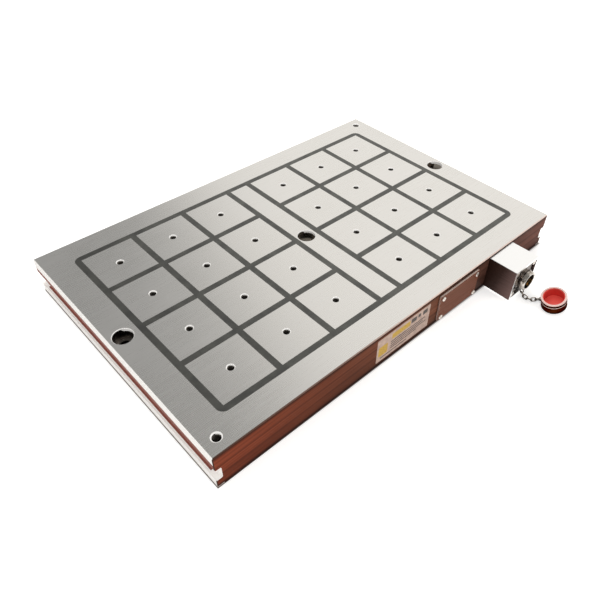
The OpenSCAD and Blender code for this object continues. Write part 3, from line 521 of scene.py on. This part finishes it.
# The cover is a steel plate carrying the same painted red-brown reflection as
# the long sides, with bright metal edges, on a black rubber gasket. Four plated
# screws with domed heads hold it.
COVER_EDGE = -0.5

cover_brown, tree, shader = new_material("steel_plate_with_painted_reflection", "6E4434", 0.0, 0.45, 0.03)
grain = streaks(tree, (6.0, 6.0, 500.0), 4.0)
# Painted reflection: the red-brown streaks on the plate's face.
brown = node(tree, "ShaderNodeValToRGB", {0: grain},
             ((0.35, "68402F"), (0.65, "7C4F3F"))).outputs[0]
normal = node(tree, "ShaderNodeSeparateXYZ",
              {0: node(tree, "ShaderNodeNewGeometry").outputs["True Normal"]})
edge = node(tree, "ShaderNodeMath", {0: normal.outputs["Y"], 1: COVER_EDGE},
            operation="GREATER_THAN")
colour = node(tree, "ShaderNodeMix", {0: edge.outputs[0], 6: brown, 7: linear("F2DDD2")},
              data_type="RGBA")
tree.links.new(colour.outputs[2], shader.inputs["Base Color"])
tree.links.new(edge.outputs[0], shader.inputs["Metallic"])
dress(cover_brown, "wiring_cover")
dress(speckled("black_rubber", "141414", "232323", 0.0, 0.7, 0.8), "cover_gasket")
plated = speckled("zinc_plated_steel", "D8CFC6", "FAF2EA", 1.0, 0.28, 1.5)
dress(plated, "cover_screws", "box_screws")


# The label is a pale foil sheet glued on the front side. It is left without
# words or signs: plain fields stand where the real one is printed.
LABEL_FACE, SHEET_T, FIELD_T = -0.2, 0.0002, 0.00004
SHEET = (-0.067, 0.030, 0.0073, 0.047, 0.0015)
YELLOW_FIELDS = ((-0.041, -0.008, 0.0335, 0.0422, 0.0006), (-0.064, -0.048, 0.0165, 0.033, 0.002))
GREY_FIELDS = (
    (-0.006, 0.004, 0.0355, 0.0425, 0.001), (0.007, 0.012, 0.037, 0.0425, 0.001),
    (0.016, 0.025, 0.0355, 0.0425, 0.001), (-0.042, 0.022, 0.0283, 0.0300, 0.0002),
    (-0.042, 0.018, 0.0246, 0.0263, 0.0002), (-0.042, 0.024, 0.0209, 0.0226, 0.0002),
    (-0.042, 0.006, 0.0172, 0.0189, 0.0002), (-0.060, -0.012, 0.0116, 0.0133, 0.0002),
)


def thin_field(name, material, left, right, low, high, corner, out, thick):
    """A thin rounded sheet on the front side, from its edges in metres."""
    bpy.ops.object.select_all(action="DESELECT")
    middle = ((left + right) / 2, LABEL_FACE - out, (low + high) / 2)
    bpy.ops.mesh.primitive_plane_add(size=1, location=middle, rotation=(math.pi / 2, 0, 0))
    sheet = bpy.context.object
    sheet.name = name
    sheet.scale = (right - left, high - low, 1)
    bpy.ops.object.transform_apply(location=True, rotation=True, scale=True)
    bpy.ops.object.mode_set(mode="EDIT")
    bpy.ops.mesh.select_all(action="SELECT")
    bpy.ops.mesh.bevel(offset=corner, segments=5, affect="VERTICES")
    bpy.ops.mesh.select_all(action="SELECT")
    bpy.ops.mesh.extrude_region_move(TRANSFORM_OT_translate={"value": (0, -thick, 0)})
    bpy.ops.mesh.select_all(action="SELECT")
    bpy.ops.mesh.normals_make_consistent(inside=False)
    bpy.ops.object.mode_set(mode="OBJECT")
    sheet.data.materials.append(material)
    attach(sheet, "root")


thin_field("label_sheet", speckled("pale_label_foil", "A68A7C", "C2A594", 0.0, 0.45, 6.0, 0.0),
           *SHEET, 0.0, SHEET_T)
yellow_ink = speckled("yellow_print", "AE8614", "CCA428", 0.0, 0.5, 2.0, 0.0)
grey_ink = speckled("grey_print", "2A1E18", "3E2E26", 0.0, 0.5, 2.0, 0.0)
for number, edges in enumerate(YELLOW_FIELDS, 1):
    thin_field(f"label_yellow_{number}", yellow_ink, *edges, SHEET_T, FIELD_T)
for number, edges in enumerate(GREY_FIELDS, 1):
    thin_field(f"label_grey_{number}", grey_ink, *edges, SHEET_T, FIELD_T)


# Hidden wiring: a moulded strip with brass screws and silicone-covered leads.
dress(speckled("black_moulded_plastic", "1B1C1F", "26282B", 0.0, 0.4, 2.0),
      "terminal_block", "socket_insert")
dress(speckled("brass", "B98A3C", "D9AE5E", 1.0, 0.28, 1.2), "terminal_screws", "contact_pins")
dress(speckled("red_silicone_lead", "8E2A20", "A63A2C", 0.0, 0.5, 3.0), "coil_leads")
dress(speckled("grey_silicone_lead", "2A2C30", "3A3C41", 0.0, 0.5, 3.0), "supply_leads")


# The connector box is welded from brushed steel. Its top and its front rim
# catch the light. Its sides carry painted shade: dark near the block and at the
# top, paler outwards and lower down.
BOX_DARK_FROM, BOX_PALE_TO, BOX_HIGH = -0.2, -0.243, 0.05

box_steel, tree, shader = new_material("brushed_box_steel", "FFFFFF", 1.0, 0.3, 0.05)
normal = node(tree, "ShaderNodeSeparateXYZ",
              {0: node(tree, "ShaderNodeNewGeometry").outputs["True Normal"]})
place = node(tree, "ShaderNodeSeparateXYZ", {0: node(tree, "ShaderNodeTexCoord").outputs["Object"]})
sideways = node(tree, "ShaderNodeMath", {0: normal.outputs["X"]}, operation="ABSOLUTE")
sheer = node(tree, "ShaderNodeMapRange", {"Value": sideways.outputs[0], "From Min": 0.5,
                                          "From Max": 0.8}).outputs[0]
outwards = node(tree, "ShaderNodeMapRange", {"Value": place.outputs["Y"],
                                             "From Min": BOX_DARK_FROM,
                                             "From Max": BOX_PALE_TO}).outputs[0]
brushed = streaks(tree, (30.0, 30.0, 900.0))
upwards = node(tree, "ShaderNodeMapRange", {"Value": place.outputs["Z"], "From Min": 0.0,
                                            "From Max": BOX_HIGH, "To Min": 0.22,
                                            "To Max": -0.12}).outputs[0]
shift = node(tree, "ShaderNodeMath", {0: outwards, 1: upwards}, operation="ADD").outputs[0]
shift = node(tree, "ShaderNodeMix", {0: 0.25, 2: shift, 3: brushed}, data_type="FLOAT").outputs[0]
# Painted shade on the box's sides.
painted_side_shade = node(tree, "ShaderNodeValToRGB", {0: shift},
                 ((0.1, "281812"), (0.5, "3A2924"), (1.0, "7E6561"))).outputs[0]
colour = node(tree, "ShaderNodeMix", {0: sheer, 6: linear("FFFFFF"), 7: painted_side_shade},
              data_type="RGBA")
tree.links.new(colour.outputs[2], shader.inputs["Base Color"])
bright = node(tree, "ShaderNodeMath", {0: 1.0, 1: sheer}, operation="SUBTRACT")
tree.links.new(bright.outputs[0], shader.inputs["Metallic"])
dress(box_steel, "connector_box")


# The socket is a nickel-plated shell with a moulded insert and plated pins. A
# coarse rolled thread runs round the front of its barrel.
FLANGE_FRONT = -0.243

socket_nickel, tree, shader = new_material("nickel_plated_socket", "DCD6CE", 1.0, 0.16)
normal = node(tree, "ShaderNodeSeparateXYZ",
              {0: node(tree, "ShaderNodeNewGeometry").outputs["True Normal"]})
place = node(tree, "ShaderNodeSeparateXYZ", {0: node(tree, "ShaderNodeTexCoord").outputs["Object"]})
# Painted shade: the flat front of the flange, set back in the box's mouth, is dark.
forward = node(tree, "ShaderNodeMath", {0: normal.outputs["Y"], 1: -LEVEL}, operation="LESS_THAN")
back = node(tree, "ShaderNodeMath", {0: place.outputs["Y"], 1: FLANGE_FRONT},
            operation="GREATER_THAN")
flange = node(tree, "ShaderNodeMath", {0: forward.outputs[0], 1: back.outputs[0]},
              operation="MULTIPLY").outputs[0]
wear_and_shade = streaks(tree, (300.0, 300.0, 300.0))
nickel = node(tree, "ShaderNodeValToRGB", {0: wear_and_shade}, ((0.35, "8F867D"), (0.65, "DCD6CE")))
painted_flange_shade = node(tree, "ShaderNodeValToRGB", {0: wear_and_shade}, ((0.35, "2A1D17"), (0.65, "6A5A50")))
colour = node(tree, "ShaderNodeMix", {0: flange, 6: nickel.outputs[0], 7: painted_flange_shade.outputs[0]},
              data_type="RGBA")
tree.links.new(colour.outputs[2], shader.inputs["Base Color"])
dress(socket_nickel, "socket_shell")

THREAD_PITCH, THREAD_TURNS, THREAD_WIRE_R, THREAD_STEPS = 0.0016, 3, 0.0005, 64
BARREL_X, BARREL_Z, BARREL_R, THREAD_FROM = 0.182, 0.026, 0.0138, -0.2457

bpy.ops.object.select_all(action="DESELECT")
bpy.ops.mesh.primitive_circle_add(vertices=6, radius=THREAD_WIRE_R, fill_type="NOTHING",
                                  rotation=(math.pi / 2, 0, 0))
coil = bpy.context.object
coil.name = "barrel_thread"
bpy.ops.object.transform_apply(location=True, rotation=True, scale=True)
bpy.ops.object.mode_set(mode="EDIT")
bpy.ops.mesh.select_all(action="SELECT")
bpy.ops.transform.translate(value=(BARREL_R, 0, 0))
bpy.ops.object.mode_set(mode="OBJECT")
winding = coil.modifiers.new("winding", "SCREW")
winding.screw_offset = THREAD_PITCH
winding.iterations = THREAD_TURNS
winding.steps = THREAD_STEPS
winding.render_steps = THREAD_STEPS
bpy.ops.object.modifier_apply(modifier="winding")
bpy.ops.object.mode_set(mode="EDIT")
bpy.ops.mesh.select_all(action="SELECT")
bpy.ops.mesh.fill_holes(sides=6)
bpy.ops.mesh.normals_make_consistent(inside=False)
bpy.ops.object.mode_set(mode="OBJECT")
coil.rotation_euler = (math.pi / 2, 0, 0)
coil.location = (BARREL_X, THREAD_FROM, BARREL_Z)
bpy.ops.object.transform_apply(location=True, rotation=True, scale=True)
coil.data.materials.append(socket_nickel)
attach(coil, "root")


# A ring in the barrel's groove, six wire links and a ring on the cap: plated
# steel with painted light, bright on top of the wire and dark on its sides
# and underside.
chain_wire, tree, shader = new_material("plated_chain_wire", "E8DED4", 1.0, 0.2)
normal = node(tree, "ShaderNodeSeparateXYZ",
              {0: node(tree, "ShaderNodeNewGeometry").outputs["Normal"]})
wear_and_shade = node(tree, "ShaderNodeMix", {0: 0.2, 2: normal.outputs["Z"],
                                    3: streaks(tree, (900.0, 900.0, 900.0))}, data_type="FLOAT")
wear_and_shade = node(tree, "ShaderNodeValToRGB", {0: wear_and_shade.outputs[0]},
            ((0.0, "1C0F09"), (0.45, "54433A"), (0.85, "F2E8DE")))
tree.links.new(wear_and_shade.outputs[0], shader.inputs["Base Color"])
dress(chain_wire, "chain_ring", "cap_ring", *[f"chain_link_{link}" for link in range(1, 7)])


# The dust cap is turned metal, dark on its grip and bright on its rim and
# band, and a red rubber cup seals it against the barrel.
CAP_APEX = Vector((0.19254, -0.29123, 0.00246))
CAP_LEAN, CAP_HEADING = math.radians(19), math.radians(158)
cap_axis = Vector((math.sin(CAP_LEAN) * math.cos(CAP_HEADING),
                   math.sin(CAP_LEAN) * math.sin(CAP_HEADING), math.cos(CAP_LEAN)))
CAP_RIM_FROM = 0.0198
CAP_BEAD_LOW, CAP_BEAD_HIGH = 0.0146, 0.0154

cap_metal, tree, shader = new_material("turned_cap_metal", "4A2A20", 1.0, 0.2)
place = node(tree, "ShaderNodeTexCoord").outputs["Object"]
level = node(tree, "ShaderNodeVectorMath", {0: place, 1: cap_axis}, operation="DOT_PRODUCT")
level = node(tree, "ShaderNodeMath", {0: level.outputs["Value"], 1: CAP_APEX.dot(cap_axis)},
             operation="SUBTRACT").outputs[0]
rim = node(tree, "ShaderNodeMath", {0: level, 1: CAP_RIM_FROM}, operation="GREATER_THAN").outputs[0]
over = node(tree, "ShaderNodeMath", {0: level, 1: CAP_BEAD_LOW}, operation="GREATER_THAN")
under = node(tree, "ShaderNodeMath", {0: level, 1: CAP_BEAD_HIGH}, operation="LESS_THAN")
bead = node(tree, "ShaderNodeMath", {0: over.outputs[0], 1: under.outputs[0]},
            operation="MULTIPLY").outputs[0]
rim = node(tree, "ShaderNodeMath", {0: rim, 1: bead}, operation="MAXIMUM").outputs[0]
turned = streaks(tree, (90.0, 90.0, 1400.0))
dark = node(tree, "ShaderNodeValToRGB", {0: turned},
            ((0.35, "2E160D"), (0.65, "5A3222"))).outputs[0]
colour = node(tree, "ShaderNodeMix", {0: rim, 6: dark, 7: linear("FFE2DA")}, data_type="RGBA")
tree.links.new(colour.outputs[2], shader.inputs["Base Color"])
plain = node(tree, "ShaderNodeMapRange", {"Value": rim, "To Min": 1.0, "To Max": 0.35})
tree.links.new(plain.outputs[0], shader.inputs["Metallic"])
shader.inputs["Specular Tint"].default_value = linear("A0705F")
dress(cap_metal, "cap_shell")
red_rubber, tree, shader = new_material("red_rubber", "F8483E", 0.0, 0.4)
# Painted shade: the rubber is darker on the cup's walls and brighter on its floor.
turn = node(tree, "ShaderNodeVectorMath",
            {0: node(tree, "ShaderNodeNewGeometry").outputs["True Normal"], 1: cap_axis},
            operation="DOT_PRODUCT").outputs["Value"]
colour = node(tree, "ShaderNodeMix", {0: turn, 6: linear("D23E36"), 7: linear("FF6A5E")},
              data_type="RGBA")
tree.links.new(colour.outputs[2], shader.inputs["Base Color"])
dress(red_rubber, "cap_liner")


# The cap's grip is knurled. One rib is cut, rounded, and set out round the
# cap forty times.
RIB_COUNT, RIB_R = 40, 0.0166
RIB_LOW, RIB_HIGH = 0.0054, 0.0141
RIB_DEEP, RIB_WIDE, RIB_ROUND = 0.0009, 0.0013, 0.0003

bpy.ops.object.select_all(action="DESELECT")
bpy.ops.mesh.primitive_cube_add(size=1, location=(RIB_R, 0, (RIB_LOW + RIB_HIGH) / 2))
rib = bpy.context.object
rib.scale = (RIB_DEEP, RIB_WIDE, RIB_HIGH - RIB_LOW)
bpy.ops.object.transform_apply(location=True, rotation=True, scale=True)
bpy.ops.object.mode_set(mode="EDIT")
bpy.ops.mesh.select_all(action="SELECT")
bpy.ops.mesh.bevel(offset=RIB_ROUND, segments=2, affect="EDGES")
bpy.ops.object.mode_set(mode="OBJECT")
ribs = [rib]
for number in range(1, RIB_COUNT):
    copy = rib.copy()
    copy.data = rib.data.copy()
    bpy.context.collection.objects.link(copy)
    copy.rotation_euler = (0, 0, number * math.tau / RIB_COUNT)
    ribs.append(copy)
bpy.ops.object.select_all(action="DESELECT")
for piece in ribs:
    piece.select_set(True)
bpy.context.view_layer.objects.active = rib
bpy.ops.object.transform_apply(location=True, rotation=True, scale=True)
bpy.ops.object.join()
rib.name = "cap_grip_ribs"
rib.rotation_euler = (0, CAP_LEAN, CAP_HEADING)
rib.location = CAP_APEX
bpy.ops.object.transform_apply(location=True, rotation=True, scale=True)
rib.data.materials.append(cap_metal)
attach(rib, "root")
